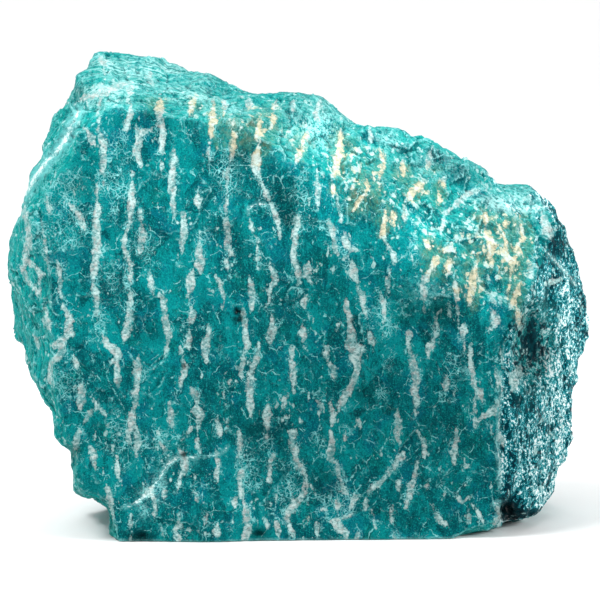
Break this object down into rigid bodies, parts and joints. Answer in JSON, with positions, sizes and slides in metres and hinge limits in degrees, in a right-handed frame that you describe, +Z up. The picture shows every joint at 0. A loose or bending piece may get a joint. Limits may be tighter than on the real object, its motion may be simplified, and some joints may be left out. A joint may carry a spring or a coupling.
{
  "type": "rough perthite stone",
  "caption": "Rough lump of green-blue perthite feldspar with pale streaks, standing on a flat break at its foot.",
  "frame": {"origin": "middle of the bounding box at the bottom, on the flat break that the stone stands on", "axes": "+Z up, +X to the right along the widest way, +Y to the back, away from the broad front face"},
  "size_m": [0.08, 0.0412, 0.0638],
  "materials": {
    "perthite": "broken feldspar, satin, green-blue with pale grey streaks"
  },
  "bodies": {
    "root": {"perthite_stone": "perthite"}
  },
  "joints": []
}
